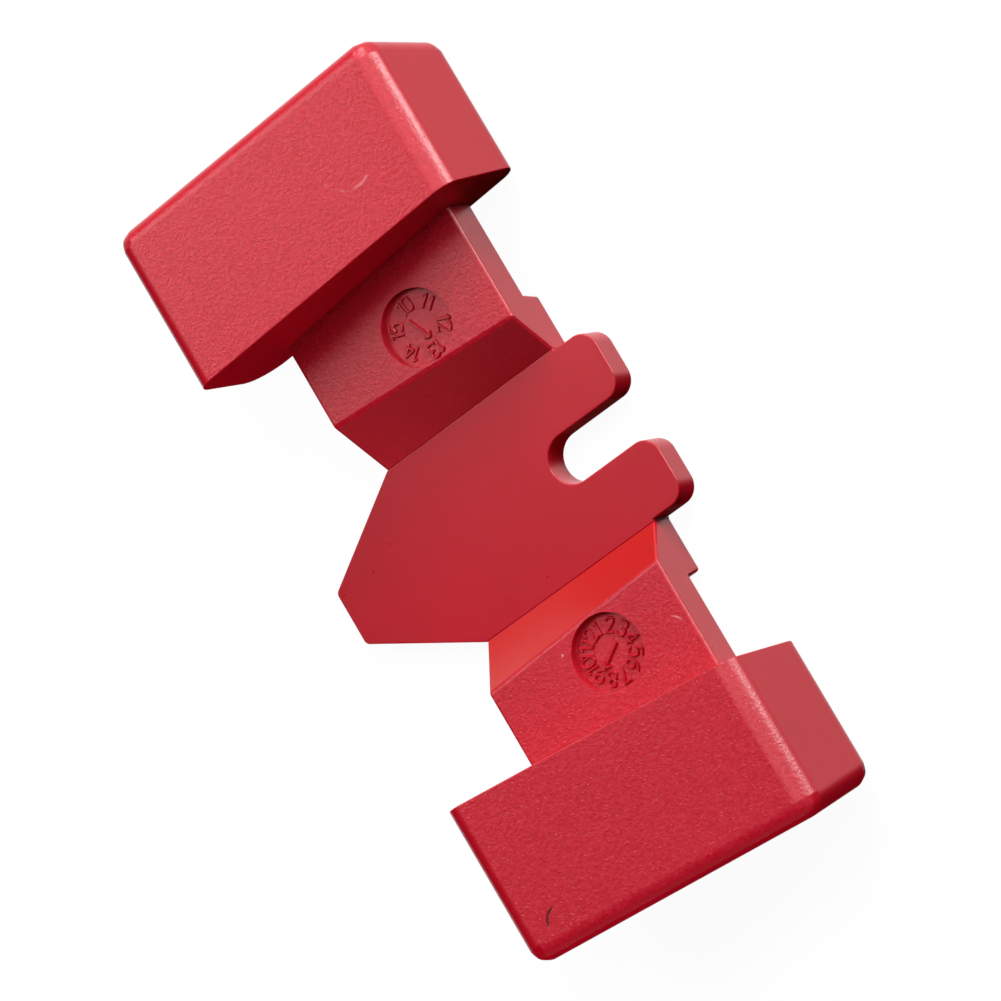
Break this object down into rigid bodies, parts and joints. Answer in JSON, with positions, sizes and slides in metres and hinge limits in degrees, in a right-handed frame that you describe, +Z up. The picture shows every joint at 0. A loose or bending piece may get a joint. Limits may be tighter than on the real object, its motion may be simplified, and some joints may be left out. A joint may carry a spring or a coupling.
{
  "type": "key gauge tip",
  "caption": "Moulded gauge tip with a slotted centre plate, stepped arms and a thick finger grip across each end.",
  "frame": {"origin": "on the underside of the centre plate, midway between the arms' edges, on the line the part mirrors about", "axes": "+X from the tail to the slotted fingers, +Y from the month grip to the year grip, +Z up out of the plate"},
  "size_m": [0.0307, 0.067, 0.0136],
  "materials": {
    "smooth_plastic": "smooth moulded red plastic",
    "grained_plastic": "fine spark-eroded grain, moulded red plastic",
    "stamp_plastic": "smooth moulded red plastic, raised marks"
  },
  "bodies": {
    "root": {"stop_plate": "smooth_plastic", "year_arm": "grained_plastic", "month_arm": "grained_plastic", "year_grip": "grained_plastic", "month_grip": "grained_plastic", "year_dial_marks": "stamp_plastic", "month_dial_marks": "stamp_plastic"}
  },
  "joints": []
}
